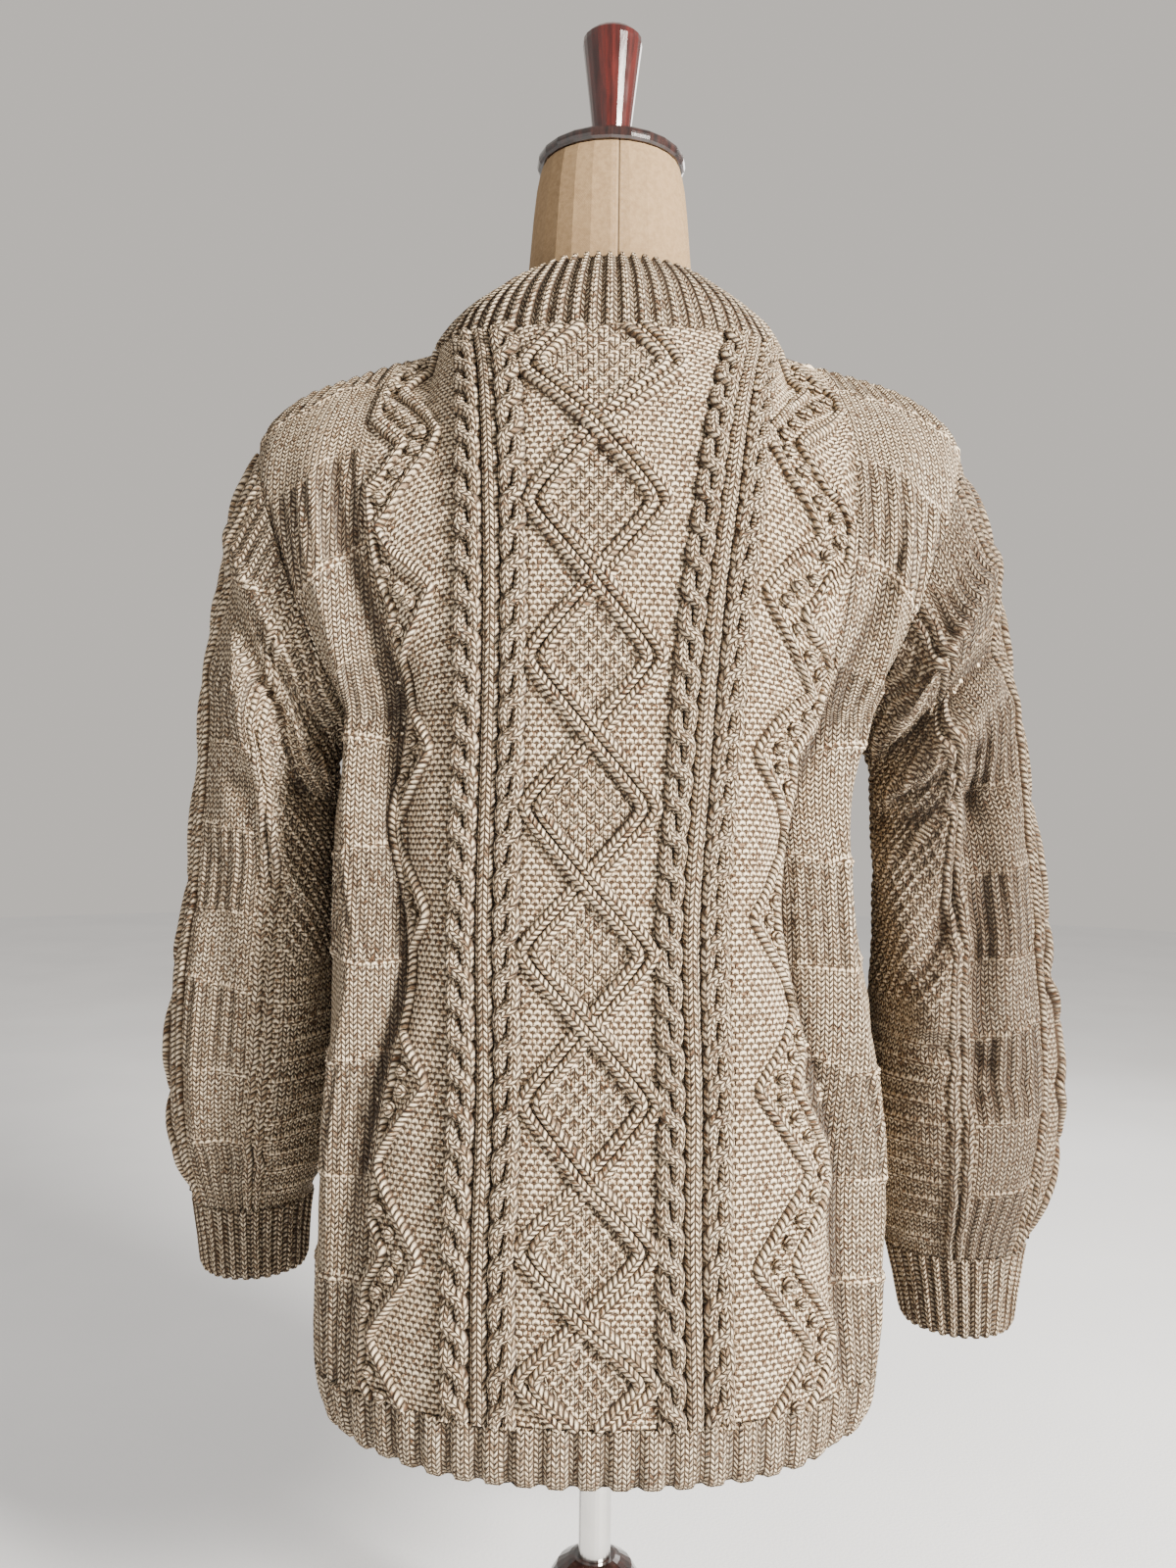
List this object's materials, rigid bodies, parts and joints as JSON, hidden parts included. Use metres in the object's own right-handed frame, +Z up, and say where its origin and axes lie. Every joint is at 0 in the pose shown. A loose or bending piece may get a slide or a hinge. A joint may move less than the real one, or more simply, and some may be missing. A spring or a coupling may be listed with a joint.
{
  "type": "cable knit sweater on a dress form",
  "caption": "Hand-knitted wool pullover with diamond, rope and zigzag cables, ribbed neck, cuffs and hem, worn on a limbless linen dress form with a pole stand.",
  "frame": {"origin": "centre of the base's underside, on the floor under the pole", "axes": "+Z up, the back of the garment faces -Y and its front +Y, +X is the wearer's right"},
  "size_m": [0.6608, 0.3, 1.2361],
  "materials": {
    "wool": "marled oatmeal worsted wool with cream and brown flecks, hand-knitted, matte and slightly hairy",
    "linen": "plain woven natural linen, matte",
    "dark_wood": "nearly black turned wood, gloss lacquer",
    "red_wood": "dark red-brown turned wood, gloss lacquer",
    "steel": "polished steel tube"
  },
  "bodies": {
    "root": {"back": "wool", "front": "wool", "back_welt": "wool", "front_welt": "wool", "sleeve_left": "wool", "sleeve_right": "wool", "cuff_left": "wool", "cuff_right": "wool", "neckband": "wool", "form": "linen", "neck_cap": "dark_wood", "finial": "red_wood", "pole": "steel", "hub": "dark_wood", "base": "dark_wood"}
  },
  "joints": []
}
